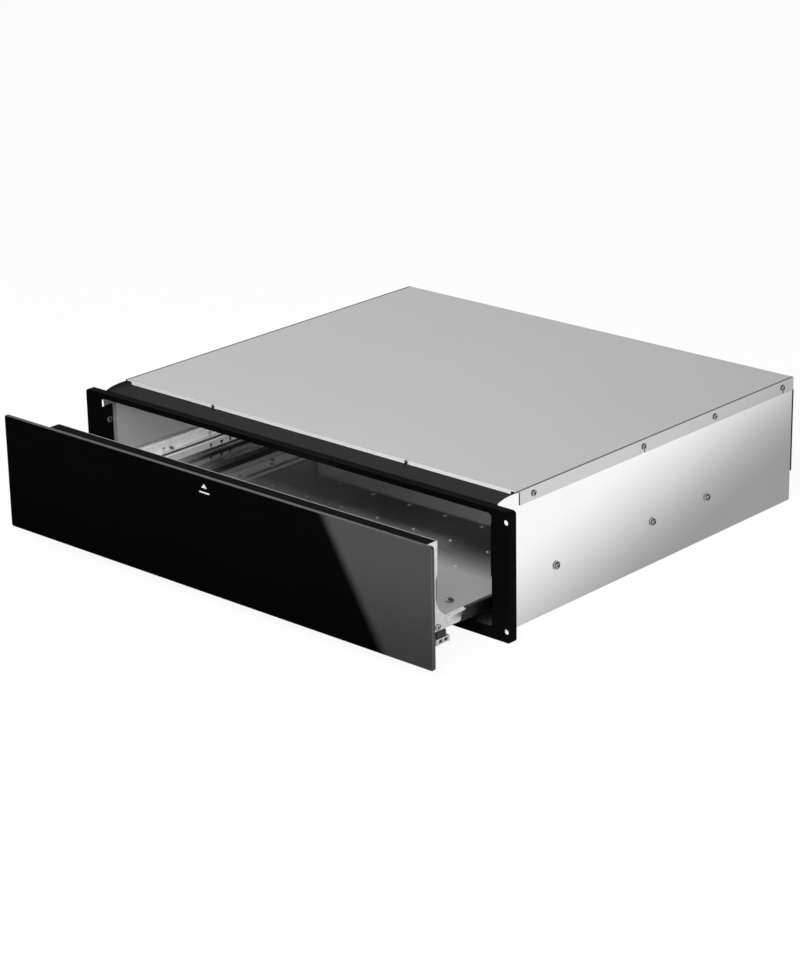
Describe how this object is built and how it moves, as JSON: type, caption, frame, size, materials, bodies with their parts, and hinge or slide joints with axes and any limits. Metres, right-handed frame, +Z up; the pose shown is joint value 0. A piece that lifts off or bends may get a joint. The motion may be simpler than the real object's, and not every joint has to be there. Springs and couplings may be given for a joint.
{
  "type": "built-in warming drawer",
  "caption": "Built-in warming drawer: steel cabinet with a black front frame and a push-to-open drawer behind a black glass front, standing part open.",
  "frame": {"origin": "on the underside of the base pan, midway between its four edges", "axes": "+X to the right seen from the front, +Y from the front to the back, +Z up"},
  "size_m": [0.595, 0.618, 0.1394],
  "materials": {
    "lid_steel": "fine satin",
    "wall_steel": "bright, softly mirroring",
    "cabinet_steel": "galvanised",
    "liner_steel": "bright",
    "bridge_paint": "matte dark grey",
    "black_paint": "semi-gloss black",
    "felt": "mineral felt",
    "zinc": "bright zinc",
    "dark_zinc": "dark zinc",
    "screw_zinc": "bright",
    "drawer_steel": "bright",
    "tray_steel": "polished",
    "pan_steel": "galvanised",
    "black_glass": "polished black",
    "white_print": "screen print",
    "tape": "foam tape",
    "rubber": "matte",
    "heater_foil": "silicone",
    "black_plastic": "matte",
    "white_plastic": "matte",
    "brass": "plain",
    "red_plastic": "translucent"
  },
  "bodies": {
    "cabinet": {"base_pan": "cabinet_steel", "side_wall_left": "wall_steel", "side_wall_right": "wall_steel", "rear_panel": "cabinet_steel", "rear_cover": "cabinet_steel", "lid": "lid_steel", "top_bridge": "bridge_paint", "front_frame": "black_paint", "rear_partition": "cabinet_steel", "side_liner_left": "liner_steel", "side_liner_right": "liner_steel", "top_liner": "liner_steel", "side_insulation_left": "felt", "side_insulation_right": "felt", "lid_insulation": "felt", "outer_slide_left": "zinc", "outer_slide_right": "zinc", "lid_screws": "screw_zinc", "slide_screws": "screw_zinc", "slide_washers": "screw_zinc", "frame_screws": "screw_zinc", "rear_screws": "screw_zinc", "latch_housing": "black_plastic", "latch_pin": "screw_zinc", "latch_spring": "screw_zinc", "terminal_block": "white_plastic", "cable_gland": "black_plastic", "thermal_cutout": "brass"},
    "hook": {"latch_hook": "zinc"},
    "middle_slides": {"middle_slide_left": "dark_zinc", "middle_slide_right": "dark_zinc"},
    "drawer": {"glass_front": "black_glass", "push_mark": "white_print", "glass_tape": "tape", "glass_bumpers": "rubber", "front_carrier": "black_paint", "front_skin": "drawer_steel", "gusset_left": "drawer_steel", "gusset_right": "drawer_steel", "drawer_side_left": "drawer_steel", "drawer_side_right": "drawer_steel", "drawer_slide_left": "zinc", "drawer_slide_right": "zinc", "tray_pan": "tray_steel", "drawer_rear_wall": "drawer_steel", "drawer_striker": "zinc", "heater_mat": "heater_foil", "insulation_mat": "felt", "under_pan": "pan_steel", "corner_block_left": "black_plastic", "corner_block_right": "black_plastic", "front_brackets": "zinc", "drawer_screws": "screw_zinc", "thermostat": "white_plastic", "switch_housing": "black_plastic", "pilot_lamp": "red_plastic"},
    "knob": {"control_knob": "black_plastic"},
    "switch": {"rocker": "red_plastic"}
  },
  "joints": [
    {"name": "drawer_travel", "type": "slide", "parent": "cabinet", "child": "drawer", "axis": [0, -1, 0], "range_m": [-0.1075, 0.2955]},
    {"name": "middle_travel", "type": "slide", "parent": "cabinet", "child": "middle_slides", "axis": [0, -1, 0], "range_m": [-0.054, 0.148]},
    {"name": "hook_swing", "type": "hinge", "parent": "cabinet", "child": "hook", "pos_m": [0, 0.2258, 0.054], "axis": [-1, 0, 0], "range_deg": [0, 5.5]},
    {"name": "knob_turn", "type": "hinge", "parent": "drawer", "child": "knob", "pos_m": [-0.18, -0.3185, 0.07], "axis": [0, 1, 0], "range_deg": [0, 270]},
    {"name": "switch_tilt", "type": "hinge", "parent": "drawer", "child": "switch", "pos_m": [-0.12, -0.322, 0.07], "axis": [1, 0, 0], "range_deg": [0, 16]}
  ],
  "couplings": [
    {"joint": "middle_travel", "follows": "drawer_travel", "ratio": 0.5}
  ]
}
